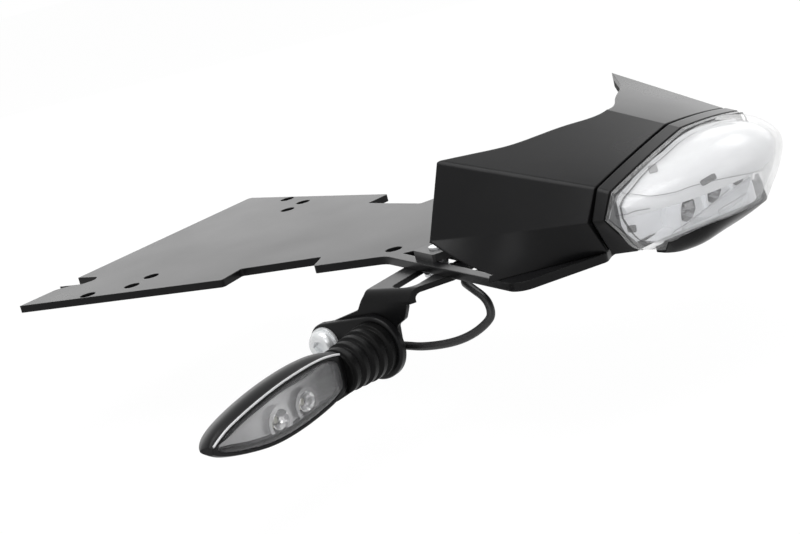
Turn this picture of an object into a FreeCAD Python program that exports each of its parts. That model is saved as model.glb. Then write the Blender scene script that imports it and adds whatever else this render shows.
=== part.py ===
import FreeCAD, Part
import math
import os

# Tail tidy: flat mounting plate, folded lamp cover, tail lamp, and one indicator on a slotted strap.
# Millimetres. X runs to the rear, Y to the far side, Z up. The plate's top face is Z = 0 and the
# mirror plane of the plate, the cover and the lamp is Y = 0. X = 0 is the front pair of bolt holes.

os.makedirs("parts", exist_ok=True)
V = FreeCAD.Vector

# driving sizes: mounting plate
PLATE_T = 3.0
PLATE_FRONT_X = -33.0
PLATE_HALF_FRONT = 76.5
PLATE_HALF_STEP_OUT = 56.5
PLATE_HALF_STEP_IN = 43.5
PLATE_HALF_WAIST = 34.5
PLATE_HALF_NOTCH = 46.0
WING_START = (142.0, 41.0)
WING_TIP = (217.0, 80.5)
M6_CLEAR_R = 3.25
FRONT_HOLES = (0.0, 66.0)
OUTER_HOLES = (17.0, 57.0)
INNER_HOLES = (17.0, 45.5)
REAR_HOLES = (132.5, 31.0)
RELIEF_R = 1.2
WING_STRIP = 3.0
SLOT_W = 8.8
SMALL_SCREW_R = 2.0
SCREW_CLEAR = 0.25
THREAD_CLEAR = 0.05
GROMMET_R = 4.0

# driving sizes: cover
SHEET_T = 2.0
COVER_FRONT_X = 185.0
COVER_FRONT_HALF = 63.0
COVER_FRONT_Z = 38.6
RIDGE_REAR_X = 236.8
RIDGE_REAR_Z = 28.9
RIDGE_SLOPE = 0.35
ROOF_BULGE = 1.0
COVER_REAR_X = RIDGE_REAR_X - 3.8
COVER_REAR_HALF = 51.2
COVER_REAR_Z = 22.2
CREASE_REAR = (RIDGE_REAR_X - 1.6, 58.2, 12.0)
CREASE_FRONT_HALF = 77.2
CREASE_FRONT_Z = 15.4
COVER_CORNER = (208.6, 74.0)
COVER_FOOT_REAR = (RIDGE_REAR_X - 2.2, 51.5)
REAR_BULGE = 3.2
REAR_ARC_HALF = 60.0
FOLD_R = 2.5
CREASE_R = 8.0
PLATE_REAR_X = COVER_REAR_X
COVER_SCREWS = (COVER_CORNER[0] + 3.4, 46.0)

# driving sizes: tail lamp
LAMP_GAP = 1.2
BAND_W = 4.0
SEAL_T = 0.6
FLANGE_T = 1.4
LENS_WALL = 2.2
HOUSING_WALL = 2.4
BACK_T = 2.0
LAMP_HALF_FOLD = COVER_REAR_HALF + 0.2
LAMP_HALF_CREASE = CREASE_REAR[1] - 0.6
LAMP_CREASE_Z = CREASE_REAR[2] + 0.2
LAMP_HALF_LOW = 43.2
LAMP_LOW_Z = -2.9
LAMP_BOTTOM_Z = -5.6
RIM_X = RIDGE_REAR_X + LAMP_GAP + BAND_W + SEAL_T
BOX_LENGTH = 22.8
BOX_FRONT_X = RIDGE_REAR_X - BOX_LENGTH
BOX_HALF = 36.0
BOX_H = 21.0
BOX_WALL = 2.0
LAMP_SCREWS = (BOX_FRONT_X + 8.0, BOX_HALF - 10.0)
CABLE_HOLE = (BOX_FRONT_X - 7.5, -30.0)
BOARD_T = 1.6
BOARD_CLEAR = 2.0
BOARD_HALF = BOX_HALF - BOX_WALL - BOARD_CLEAR
BOARD_H = BOX_H - 2 * BOX_WALL - 1.5 * BOARD_CLEAR
DISH_PITCH = 21.0
DISH_R = 9.0
DISH_DEPTH = 8.0
DISH_THROAT = 2.6
DISH_X = RIM_X + 0.4
DISH_Z = 1.4
LED_SIDE = 3.4
LED_Z = BOX_WALL + LED_SIDE / 2

# driving sizes: strap, indicator and cable
STRAP_T = 2.0
STRAP_X = (146.5, 176.0)
STRAP_INNER_Y = -24.0
STRAP_SLOT_X = (STRAP_X[0] + STRAP_X[1]) / 2
STRAP_SLOT_W = 10.5
BEND_R = 2.0
LEG_Y = -72.0
M6_R = 3.0
M6_HEAD_R = 5.25
M6_HEAD_H = 3.3
M6_WASHER_R = 6.0
M6_WASHER_T = 1.2
M6_NUT_AF = 10.0
M6_NUT_H = 5.0
STALK = (148.3, -22.8)
LUG = (STALK[0] - 21.0, STALK[1] + 2.7)
BASE_R = 11.7
LUG_R = 7.0
BASE_T = 3.0
STALK_BORE_R = 4.0
STALK_LONG = 23.0
STALK_END_Y = LEG_Y - BASE_T - STALK_LONG
IND_RIM_X = STALK[0] + 3.7
IND_WALL = 2.0
IND_LENS_WALL = 1.6
CABLE_R = 1.5
CABLE_CLEAR = 0.4


def export(shape, name):
    if shape.ShapeType == "Compound" and len(shape.Solids) == 1:
        shape = shape.Solids[0]
    shape.exportStep("parts/" + name + ".step")


def corner_wire(points, z=0.0):
    """Closed outline in XY; each point is (x, y) or (x, y, radius)."""
    pts = [V(p[0], p[1], z) for p in points]
    rad = [p[2] if len(p) > 2 else 0.0 for p in points]
    n = len(pts)
    ends = []
    for i in range(n):
        p = pts[i]
        if rad[i] <= 0:
            ends.append((p, p, None))
            continue
        a = (pts[i - 1] - p).normalize()
        b = (pts[(i + 1) % n] - p).normalize()
        half = a.getAngle(b) / 2
        d = rad[i] / math.tan(half)
        mid = V(a).add(b).normalize()
        ends.append((p + a * d, p + b * d, p + mid * (rad[i] / math.sin(half) - rad[i])))
    edges = []
    for i in range(n):
        start, end, mid = ends[i]
        if mid is not None:
            edges.append(Part.Arc(start, mid, end).toShape())
        nxt = ends[(i + 1) % n][0]
        if (nxt - end).Length > 1e-6:
            edges.append(Part.makeLine(end, nxt))
    return Part.Wire(edges)


def slab(points, z0, height):
    return Part.Face(corner_wire(points, z0)).extrude(V(0, 0, height))


def side_slab(points, y0, depth):
    """Outline given as (x, z[, radius]), extruded along Y."""
    s = slab(points, 0.0, depth)
    s.rotate(V(0, 0, 0), V(1, 0, 0), 90)
    s.translate(V(0, y0 + depth, 0))
    return s


def box(x, y, z):
    """Block between pairs of limits along each axis."""
    return Part.makeBox(x[1] - x[0], y[1] - y[0], z[1] - z[0], V(x[0], y[0], z[0]))


def mirror_y(shape):
    return shape.mirror(V(0, 0, 0), V(0, 1, 0))


def both_sides(points):
    """Half outline on the near side, from front to rear, closed with its mirror image."""
    far = [tuple([p[0], -p[1]] + list(p[2:])) for p in reversed(points)]
    return list(points) + far


def cyl(r, h, base, axis=(0, 0, 1)):
    return Part.makeCylinder(r, h, V(*base), V(*axis))


def cone(r0, r1, h, base, axis=(1, 0, 0)):
    return Part.makeCone(r0, r1, h, V(*base), V(*axis))


def hexagon(af, h, base, axis):
    r = af / 2 / math.cos(math.pi / 6)
    pts = [V(r * math.cos(math.pi / 3 * i), r * math.sin(math.pi / 3 * i), 0) for i in range(6)]
    s = Part.Face(Part.makePolygon(pts + [pts[0]])).extrude(V(0, 0, h))
    s.Placement = FreeCAD.Placement(V(*base), FreeCAD.Rotation(V(0, 0, 1), V(*axis)))
    return s


def button_bolt(r_shank, length, r_head, h_head, base, axis):
    """Socket button bolt: base is under the head, axis points from the shank out through the head."""
    a = V(*axis)
    b = V(*base)
    head = Part.makeCylinder(r_head, h_head, b, a)
    rim = [e for e in head.Edges if abs((e.CenterOfMass - b).dot(a) - h_head) < 1e-6]
    head = head.makeFillet(h_head * 0.6, rim)
    bolt = Part.makeCylinder(r_shank, length, b, a * -1).fuse(head)
    s = b + a * (h_head * 0.4)
    return bolt.cut(hexagon(r_shank * 4 / 3, h_head, (s.x, s.y, s.z), axis)).removeSplitter()


def ring(r_out, r_in, h, base, axis=(0, 0, 1)):
    return cyl(r_out, h, base, axis).cut(cyl(r_in, h, base, axis))


# mounting plate
wing_dir = V(WING_TIP[0] - WING_START[0], WING_START[1] - WING_TIP[1], 0).normalize()
wing_in = V(-wing_dir.y, wing_dir.x, 0)


def along_wing(distance, inset):
    """Point at a distance along the near wing's edge and at an inset from it."""
    p = V(WING_START[0], -WING_START[1], 0) + wing_dir * distance + wing_in * inset
    return (p.x, p.y)


below = -PLATE_T - 1.0
through = PLATE_T + 2.0
plate = slab(both_sides([
    (PLATE_FRONT_X, -PLATE_HALF_FRONT, 2.0),
    (67.0, -PLATE_HALF_STEP_OUT, 1.5),
    (65.5, -PLATE_HALF_STEP_IN, 1.0),
    (100.0, -PLATE_HALF_WAIST, 1.5),
    (105.0, -PLATE_HALF_NOTCH, 1.5),
    (134.5, -39.3, 9.0),
    (WING_TIP[0], -WING_TIP[1], 6.0),
    (PLATE_REAR_X + 1.5, -COVER_FOOT_REAR[1] - 1.0, 3.0),
    (PLATE_REAR_X, -COVER_FOOT_REAR[1] + 4.5, 2.0),
]), -PLATE_T, PLATE_T)
# hook-shaped notch in the near front corner
outside = PLATE_FRONT_X - 12.0
hook = slab([
    (outside, -53.6), (PLATE_FRONT_X + 13.0, -50.4, 2.5), (PLATE_FRONT_X + 15.5, -45.4, 3.0),
    (PLATE_FRONT_X + 13.0, -41.3, 2.0), (outside, -40.2),
], below, through)
lip = slab([
    (outside, -PLATE_HALF_FRONT - 4.0), (PLATE_FRONT_X + 1.6, -PLATE_HALF_FRONT - 4.0),
    (PLATE_FRONT_X + 2.4, -56.5, 2.0), (PLATE_FRONT_X + 7.0, -52.0), (outside, -52.0),
], below, through)
plate = plate.cut(hook).cut(lip)
for x, y in (FRONT_HOLES, OUTER_HOLES, INNER_HOLES, REAR_HOLES):
    for s in (-1, 1):
        plate = plate.cut(cyl(M6_CLEAR_R, through, (x, s * y, below)))
# slot beside each wing edge for the indicator strap, with its relief hole
slot_in = WING_STRIP + SLOT_W
slot_end = along_wing(66.0, WING_STRIP)
slot_turn = along_wing(66.0, slot_in)
slot = slab([along_wing(-2.6, WING_STRIP), slot_end + (2.0,), slot_turn + (2.0,), along_wing(2.0, slot_in)], below, through)
relief = cyl(RELIEF_R, through, along_wing(1.6, slot_in + 0.4) + (below,))
for tool in (slot, relief):
    plate = plate.cut(tool).cut(mirror_y(tool))
# holes for the cover's and the lamp's screws and for the cable
for x, y in (COVER_SCREWS, LAMP_SCREWS):
    for s in (-1, 1):
        plate = plate.cut(cyl(SMALL_SCREW_R + SCREW_CLEAR, through, (x, s * y, below)))
plate = plate.cut(cyl(GROMMET_R, through, CABLE_HOLE + (below,)))
export(plate, "mounting_plate")


# folded lamp cover
SECTION_FRONT_X = COVER_FRONT_X - 7.0
SECTION_REAR_X = RIDGE_REAR_X + 5.2


def along(x, x0, v0, x1, v1):
    """Value at x on the straight line through two known values."""
    return v0 + (v1 - v0) * (x - x0) / (x1 - x0)


def cover_section(x, inset, z_foot):
    """Closed cross-section at one X: foot, crease and fold on each side and a roof that bulges to the rear."""
    fold_y = along(x, COVER_FRONT_X, COVER_FRONT_HALF, COVER_REAR_X, COVER_REAR_HALF) - inset * 1.15
    fold_z = along(x, COVER_FRONT_X, COVER_FRONT_Z, COVER_REAR_X, COVER_REAR_Z) - inset * 1.05
    crease_y = along(x, COVER_FRONT_X, CREASE_FRONT_HALF, CREASE_REAR[0], CREASE_REAR[1]) - inset * 1.15
    crease_z = along(x, COVER_FRONT_X, CREASE_FRONT_Z, CREASE_REAR[0], CREASE_REAR[2])
    foot_y = along(x, COVER_CORNER[0], COVER_CORNER[1], COVER_FOOT_REAR[0], COVER_FOOT_REAR[1]) - inset * 1.1
    ridge = V(x, 0, RIDGE_REAR_Z + RIDGE_SLOPE * (RIDGE_REAR_X - x) - inset)
    bulge = along(x, SECTION_FRONT_X, ROOF_BULGE * 0.1, SECTION_REAR_X, ROOF_BULGE)
    edges = []
    for s in (-1, 1):
        corners = [V(x, s * foot_y, z_foot), V(x, s * crease_y, crease_z), V(x, s * fold_y, fold_z)]
        if s > 0:
            corners.reverse()
        run = [Part.makeLine(a, b) for a, b in zip(corners[:-1], corners[1:])]
        mid = V(x, s * fold_y * 0.5, (fold_z + ridge.z) / 2 + bulge)
        if s < 0:
            edges += run + [Part.Arc(corners[-1], mid, ridge).toShape()]
        else:
            edges += [Part.Arc(ridge, mid, corners[0]).toShape()] + run
    edges.append(Part.makeLine(V(x, foot_y, z_foot), V(x, -foot_y, z_foot)))
    return Part.Wire(edges)


def cover_body(inset, z_foot):
    return Part.makeLoft([cover_section(x, inset, z_foot) for x in (SECTION_FRONT_X, SECTION_REAR_X)], True, True)


def line_edges(shape, y, z, x=COVER_REAR_X, reach=1.5):
    """Lengthwise edges that pass one point of the section at x, on both sides."""
    found = []
    for e in shape.Edges:
        a, b = e.Vertexes[0].Point, e.Vertexes[-1].Point
        if abs(a.x - b.x) < 5.0:
            continue
        at = a + (b - a) * ((x - a.x) / (b.x - a.x))
        if abs(abs(at.y) - y) < reach and abs(at.z - z) < reach:
            found.append(e)
    return found


outer = cover_body(0.0, 0.0)
outer = outer.makeFillet(FOLD_R, line_edges(outer, COVER_REAR_HALF, COVER_REAR_Z))
cover = outer.cut(cover_body(SHEET_T, -SHEET_T - 1.0))
# plan outline: concave front edge between two horns, bulged rear edge
REAR_ARC_SIDE_X = RIDGE_REAR_X - REAR_BULGE
FRONT_CURVE = [(0.0, 63.2), (3.8, 57.5), (9.0, 50.0), (14.3, 42.0), (19.6, 30.0), (25.0, 17.0), (28.8, 9.0)]
horn = COVER_FRONT_HALF / 63.0
front_plan = [(COVER_FRONT_X + p[0], -p[1] * horn) for p in FRONT_CURVE]
front_plan = front_plan + [(COVER_FRONT_X + 30.6, 0.0)] + [(p[0], -p[1]) for p in reversed(front_plan)]
front_curve = Part.BSplineCurve()
front_curve.interpolate(Points=[V(p[0], p[1], -20) for p in front_plan])
rear_half = REAR_ARC_HALF
rear_curve = Part.Arc(V(REAR_ARC_SIDE_X, rear_half, -20), V(RIDGE_REAR_X, 0, -20), V(REAR_ARC_SIDE_X, -rear_half, -20))
front_half = -front_plan[0][1]
beyond = CREASE_FRONT_HALF + 30.0
side_far = [(COVER_FRONT_X, front_half), (COVER_FRONT_X, beyond), (REAR_ARC_SIDE_X, beyond), (REAR_ARC_SIDE_X, rear_half)]
side_near = [(x, -y) for x, y in reversed(side_far)]
keep = [front_curve.toShape()]
for run in (side_far, side_near):
    if run is side_near:
        keep.append(rear_curve.toShape())
    for a, b in zip(run[:-1], run[1:]):
        keep.append(Part.makeLine(V(a[0], a[1], -20), V(b[0], b[1], -20)))
cover = cover.common(Part.Face(Part.Wire(keep)).extrude(V(0, 0, 90)))
# lower front corners cut up from the foot to the crease
CORNER_CUT = [(-20.0, -5.0), (COVER_CORNER[0] - COVER_FRONT_X + 1.4, -5.0), (COVER_CORNER[0] - COVER_FRONT_X - 0.4, 0.2)]
CORNER_CUT += [(1.6, CREASE_FRONT_Z - 1.2), (0.0, CREASE_FRONT_Z - 0.4), (-20.0, CREASE_FRONT_Z - 0.4)]
cover = cover.cut(side_slab([(COVER_FRONT_X + p[0], p[1]) for p in CORNER_CUT], -beyond, 2 * beyond))
# tabs folded inwards at the foot, one screw each
TAB_HALF = 7.5
TAB_INNER_Y = COVER_SCREWS[1] - 7.5
for s in (-1, 1):
    y = (min(s * TAB_INNER_Y, s * beyond), max(s * TAB_INNER_Y, s * beyond))
    tab = box((COVER_SCREWS[0] - TAB_HALF, COVER_SCREWS[0] + TAB_HALF), y, (0.0, SHEET_T)).common(cover_body(0.0, 0.0))
    cover = cover.fuse(tab.cut(cyl(SMALL_SCREW_R + SCREW_CLEAR, 4.0, (COVER_SCREWS[0], s * COVER_SCREWS[1], -1.0))))
cover = cover.removeSplitter()
export(cover, "light_box_shell")


# tail lamp housing
def plan_band(front, width, half=LAMP_HALF_CREASE + 17.0):
    """Upright block between two curved edges that follow the cover's rear edge."""
    arcs = []
    for d in (front, front + width):
        side_x = REAR_ARC_SIDE_X + d
        arcs.append([V(side_x, -rear_half, -40), V(RIDGE_REAR_X + d, 0, -40), V(side_x, rear_half, -40)])
    a, b = arcs
    edges = [Part.Arc(*a).toShape(), Part.Arc(*b).toShape()]
    for i, s in ((0, -1), (2, 1)):
        pts = [a[i], V(a[i].x, s * half, -40), V(b[i].x, s * half, -40), b[i]]
        edges += [Part.makeLine(p, q) for p, q in zip(pts[:-1], pts[1:])]
    return Part.Face(Part.Wire(Part.__sortEdges__(edges))).extrude(V(0, 0, 100))


def lamp_section(x, inset, spread=0.0):
    """Closed cross-section; the spread widens the lower side towards the cover's foot."""
    fold_z = COVER_REAR_Z - 0.335 * (x - COVER_REAR_X) - inset
    ridge = V(x, 0, RIDGE_REAR_Z - RIDGE_SLOPE * (x - RIDGE_REAR_X) - inset)
    bottom = V(x, 0, LAMP_BOTTOM_Z + inset)
    fold_y = LAMP_HALF_FOLD - inset * 0.8
    low = V(x, inset * 0.6 - LAMP_HALF_LOW - spread, LAMP_LOW_Z + inset + spread * 0.23)
    near = [low, V(x, inset * 1.1 - LAMP_HALF_CREASE, LAMP_CREASE_Z), V(x, -fold_y, fold_z)]
    far = [V(p.x, -p.y, p.z) for p in reversed(near)]
    mid_z = (fold_z + ridge.z) / 2 + 1.0
    run = [bottom] + near
    edges = [Part.makeLine(a, b) for a, b in zip(run[:-1], run[1:])]
    edges.append(Part.Arc(near[-1], V(x, -fold_y * 0.5, mid_z), ridge).toShape())
    edges.append(Part.Arc(ridge, V(x, fold_y * 0.5, mid_z), far[0]).toShape())
    run = far + [bottom]
    edges += [Part.makeLine(a, b) for a, b in zip(run[:-1], run[1:])]
    return Part.Wire(edges)


LAMP_FRONT_X = RIDGE_REAR_X - 10.8
LAMP_REAR_X = RIDGE_REAR_X + 13.2
LAMP_SPREAD = 12.2


def lamp_body(inset):
    return Part.makeLoft([lamp_section(LAMP_FRONT_X, inset), lamp_section(LAMP_REAR_X, inset)], True, True)


spread_sections = [lamp_section(COVER_REAR_X, 0.0, LAMP_SPREAD), lamp_section(RIDGE_REAR_X + 3.2, 0.0), lamp_section(LAMP_REAR_X, 0.0)]
band = Part.makeLoft(spread_sections, True, True)
band = band.makeFillet(FOLD_R, line_edges(band, LAMP_HALF_FOLD, COVER_REAR_Z))
hollow = lamp_body(HOUSING_WALL).common(plan_band(LAMP_GAP + BACK_T, BAND_W + 2.0))
box_inner_x = BOX_FRONT_X + BOX_WALL
box_inner = BOX_HALF - BOX_WALL
back_x = RIDGE_REAR_X + LAMP_GAP + BACK_T
# electronics box in front of the back wall, standing on the plate inside the cover
box_out = slab([(BOX_FRONT_X, -BOX_HALF, 4.0), (back_x - 1.2, -BOX_HALF), (back_x - 1.2, BOX_HALF), (BOX_FRONT_X, BOX_HALF, 4.0)], 0.0, BOX_H)
box_room = slab([(box_inner_x, -box_inner, 2.0), (back_x - 3.6, -box_inner), (back_x - 3.6, box_inner), (box_inner_x, box_inner, 2.0)], BOX_WALL, BOX_H - 2 * BOX_WALL)
lamp_bosses = cyl(4.5, 9.0, LAMP_SCREWS + (0.0,))
lamp_bosses = lamp_bosses.fuse(mirror_y(lamp_bosses))
housing = band.common(plan_band(LAMP_GAP, BAND_W)).fuse(box_out).cut(hollow)
housing = housing.cut(box_room.cut(lamp_bosses))
slot_z = (DISH_Z - DISH_THROAT - 1.5, LED_Z + LED_SIDE / 2 + 0.5)
housing = housing.cut(box((back_x - 5.0, back_x + 1.0), (1.0 - BOARD_HALF, BOARD_HALF - 1.0), slot_z))
for s in (-1, 1):
    housing = housing.cut(cyl(SMALL_SCREW_R + THREAD_CLEAR, 8.0, (LAMP_SCREWS[0], s * LAMP_SCREWS[1], -1.0)))
CABLE_ENTRY = (BOX_FRONT_X, -29.0, 9.0)
housing = housing.cut(cyl(CABLE_R + CABLE_CLEAR, 6.0, (BOX_FRONT_X - 1.0,) + CABLE_ENTRY[1:], (1, 0, 0)))
housing = housing.removeSplitter()
export(housing, "tail_light_housing")

# dark seal between the housing and the lens flange
rim = LAMP_GAP + BAND_W
seal = lamp_body(0.4).cut(lamp_body(HOUSING_WALL - 0.4)).common(plan_band(rim, SEAL_T))
export(seal, "tail_light_seal")

# clear lens: rows from the middle to the side, each a rear profile above a crease and a hem below it,
# with x counted from the rim and z from the plate's top face
# (y, top at the rim, rear profile, crease, hem, bottom at the rim)
LENS_ROWS = [
    (0.0, 25.0, [(19.4, 24.4), (26.2, 20.8), (29.4, 15.5), (28.9, 9.2), (27.2, 3.6)], (25.0, -1.3), (18.4, -4.8), -4.9),
    (10.0, 24.7, [(18.6, 24.2), (25.5, 20.6), (28.4, 15.4), (27.8, 9.2), (25.3, 3.4)], (21.3, -1.3), (16.2, -4.9), -4.9),
    (20.0, 23.9, [(16.0, 23.0), (22.8, 19.7), (25.8, 15.0), (25.0, 9.2), (21.8, 3.2)], (16.3, -1.3), (12.8, -5.1), -4.6),
    (30.0, 22.9, [(12.4, 21.6), (18.7, 18.2), (21.4, 14.4), (20.6, 8.6), (17.0, 2.8)], (11.2, -1.3), (8.4, -5.3), -4.1),
    (40.0, 21.3, [(7.4, 19.9), (13.0, 16.7), (15.2, 12.8), (14.2, 7.8), (10.8, 2.8)], (6.0, -1.3), (4.8, -4.0), -3.0),
    (47.0, 19.5, [(3.6, 18.4), (7.6, 15.8), (9.3, 12.2), (8.4, 8.6), (6.2, 5.2)], (2.8, 1.6), (2.2, 0.4), 0.2),
    (52.6, 17.0, [(1.2, 16.0), (3.0, 14.4), (3.6, 12.4), (3.2, 10.9), (2.2, 9.8)], (1.2, 9.2), (0.8, 8.8), 8.8),
]


def lens_wire(row, side, inset):
    y, top, rear, crease, hem, low = row
    y = side * y * (1.0 - inset * 0.018)
    x0 = RIM_X - 6.5
    cx = x0 + 3.2
    cz = (top + low) / 2
    squeeze = min(inset, (top - low) / 2 - 0.8)

    def pull(p):
        x = RIM_X + p[0]
        k = 1.0 - inset / math.hypot(x - cx, p[1] - cz)
        return V(cx + (x - cx) * k, y, cz + (p[1] - cz) * k)

    start = V(x0, y, top - squeeze)
    c = Part.BSplineCurve()
    c.interpolate(Points=[start] + [pull(p) for p in rear] + [pull(crease)])
    base = V(x0, y, low + squeeze)
    run = [pull(crease), pull(hem), base, start]
    return Part.Wire([c.toShape()] + [Part.makeLine(a, b) for a, b in zip(run[:-1], run[1:])])


def lens_solid(inset):
    rows = [(r, -1) for r in reversed(LENS_ROWS[1:])] + [(r, 1) for r in LENS_ROWS]
    return Part.makeLoft([lens_wire(r, s, inset) for r, s in rows], True, False)


behind_seal = plan_band(rim + SEAL_T, 60.0)
lens_body = lens_solid(0.0).common(behind_seal)
lens_room = lens_solid(LENS_WALL)
flange = lamp_body(0.2).common(plan_band(rim + SEAL_T, FLANGE_T))

# black window under the lens that lights the number plate: rows as for the lens, grooved across.
# Its upper edge is the lens's crease, where it lies over a thinned part of the lens
# (y, top edge, middle of the outer face, keel)
WINDOW_ROWS = [
    (0.0, (24.9, -1.4), (17.4, -5.8), (8.4, -10.0)),
    (10.0, (21.2, -1.4), (15.4, -6.0), (8.3, -9.8)),
    (20.0, (16.2, -1.4), (13.6, -6.0), (7.8, -9.2)),
    (30.0, (11.1, -1.4), (9.6, -5.4), (6.8, -7.8)),
    (38.0, (6.9, -1.4), (6.2, -4.0), (4.8, -5.6)),
]
WINDOW_SKIN = 1.1
WINDOW_FRONT_X = RIM_X + 2.0
WINDOW_GROOVES = 13
WINDOW_PITCH = 4.2
GROOVE_W = 1.4
GROOVE_D = 0.9


def window_wire(row, side):
    y, top, mid, keel = row
    top, mid, keel = [V(RIM_X + p[0], side * y, p[1]) for p in (top, mid, keel)]
    start = V(WINDOW_FRONT_X, side * y, top.z)
    base = V(WINDOW_FRONT_X, side * y, keel.z + 0.4)
    return Part.Wire([Part.makeLine(start, top), Part.Arc(top, mid, keel).toShape(), Part.makeLine(keel, base), Part.makeLine(base, start)])


rows = [(r, -1) for r in reversed(WINDOW_ROWS[1:])] + [(r, 1) for r in WINDOW_ROWS]
window = Part.makeLoft([window_wire(r, s) for r, s in rows], True, False)
window = window.cut(lens_solid(WINDOW_SKIN))
lens = lens_body.fuse(flange).cut(lens_room).cut(window)
lens = max(lens.removeSplitter().Solids, key=lambda q: q.Volume)
export(lens, "tail_light_lens")

keel_x = WINDOW_FRONT_X + 9.4
for i in range(WINDOW_GROOVES):
    y = (i - (WINDOW_GROOVES - 1) / 2) * WINDOW_PITCH
    window = window.cut(box((WINDOW_FRONT_X - 1.0, keel_x), (y - GROOVE_W / 2, y + GROOVE_W / 2), (-20.0, GROOVE_D - 10.0)))
window = window.cut(flange).cut(band.common(plan_band(0.0, rim + SEAL_T)))
window = max(window.Solids, key=lambda q: q.Volume)
export(window, "number_plate_window")

# white inner body: back wall, a dome close behind the lens down to a shelf, a floor skin and three dishes
SHELF_Z = 10.4
SHELF_T = 1.8
REFL_T = 1.6
ROOM_CLEAR = 0.5
FLOOR_HALF = 40.0
room = lens_solid(LENS_WALL + ROOM_CLEAR)
core = lens_solid(LENS_WALL + ROOM_CLEAR + REFL_T)
behind_wall = plan_band(LAMP_GAP + BACK_T, 60.0)
reach = RIM_X + 40.0
reflector = lamp_body(HOUSING_WALL + 0.3).common(plan_band(LAMP_GAP + BACK_T, REFL_T))
dome = room.cut(core).common(box((back_x - 10.0, reach), (-70.0, 70.0), (SHELF_Z, 60.0))).common(behind_wall)
shelf = box((back_x - 10.0, reach), (-70.0, 70.0), (SHELF_Z, SHELF_Z + SHELF_T)).common(room).common(behind_wall)
floor = room.cut(core).common(box((back_x - 10.0, reach), (-FLOOR_HALF, FLOOR_HALF), (-20.0, -1.0))).common(behind_wall)
for piece in (dome, shelf, floor):
    reflector = reflector.fuse(piece)
dishes = [(k - 1) * DISH_PITCH for k in range(3)]
under_shelf = box((back_x - 4.0, DISH_X + 19.0), (-FLOOR_HALF, FLOOR_HALF), (-4.0, SHELF_Z + 0.5))
dish_start = DISH_X - 3.6
for y in dishes:
    cup = cone(DISH_THROAT + 1.2, DISH_R, DISH_DEPTH, (DISH_X, y, DISH_Z)).fuse(cyl(DISH_THROAT + 1.2, 3.6, (dish_start, y, DISH_Z), (1, 0, 0)))
    reflector = reflector.fuse(cup.common(under_shelf).common(room))
walls = band.cut(lamp_body(HOUSING_WALL + 0.2)).common(plan_band(0.0, rim + SEAL_T))
reflector = reflector.cut(walls)
for y in dishes:
    reflector = reflector.cut(cone(DISH_THROAT, DISH_R - 0.8, DISH_DEPTH + 0.1, (DISH_X, y, DISH_Z)).common(core))
    reflector = reflector.cut(cyl(DISH_THROAT, 8.0, (DISH_X - 7.9, y, DISH_Z), (1, 0, 0)))
reflector = max(reflector.removeSplitter().Solids, key=lambda q: q.Volume)
export(reflector, "tail_light_reflector")

# circuit board in the electronics box with one light source behind each dish
board_x = back_x - 6.0
board = box((board_x, board_x + BOARD_T), (-BOARD_HALF, BOARD_HALF), (BOX_WALL, BOX_WALL + BOARD_H))
export(board, "tail_light_board")
LED_H = 3.6
for name, y in zip(("near", "middle", "far"), dishes):
    led_x = board_x + BOARD_T
    led = box((led_x, led_x + LED_H), (y - LED_SIDE / 2, y + LED_SIDE / 2), (LED_Z - LED_SIDE / 2, LED_Z + LED_SIDE / 2))
    export(led, "tail_light_led_" + name)

# clear bar on the lens floor that passes light down to the number plate window
GUIDE_HALF = 27.0
GUIDE = [(8.6, -3.6), (9.0, 1.2), (10.6, 1.2), (14.4, -3.6)]
guide_zone = side_slab([(RIM_X + p[0], p[1]) for p in GUIDE], -GUIDE_HALF, 2 * GUIDE_HALF)
guide = guide_zone.common(core)
guide = max(guide.Solids, key=lambda q: q.Volume)
for y in dishes:
    guide = guide.cut(cone(DISH_THROAT + 1.6, DISH_R + 0.4, DISH_DEPTH + 0.2, (DISH_X, y, DISH_Z)))
guide = max(guide.Solids, key=lambda q: q.Volume)
export(guide, "number_plate_light_guide")

# screws from below: the cover's go through its tabs into nuts, the lamp's into its bosses
for name, s in (("near", -1), ("far", 1)):
    x, y = COVER_SCREWS[0], s * COVER_SCREWS[1]
    export(button_bolt(SMALL_SCREW_R, 9.0, 3.8, 2.2, (x, y, -PLATE_T), (0, 0, -1)), "shell_screw_" + name)
    nut = hexagon(7.0, 3.2, (x, y, SHEET_T), (0, 0, 1)).cut(cyl(SMALL_SCREW_R + THREAD_CLEAR, 6.0, (x, y, 0.0)))
    export(nut, "shell_nut_" + name)
    x, y = LAMP_SCREWS[0], s * LAMP_SCREWS[1]
    export(button_bolt(SMALL_SCREW_R, 9.0, 3.8, 2.2, (x, y, -PLATE_T), (0, 0, -1)), "lamp_screw_" + name)

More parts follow.
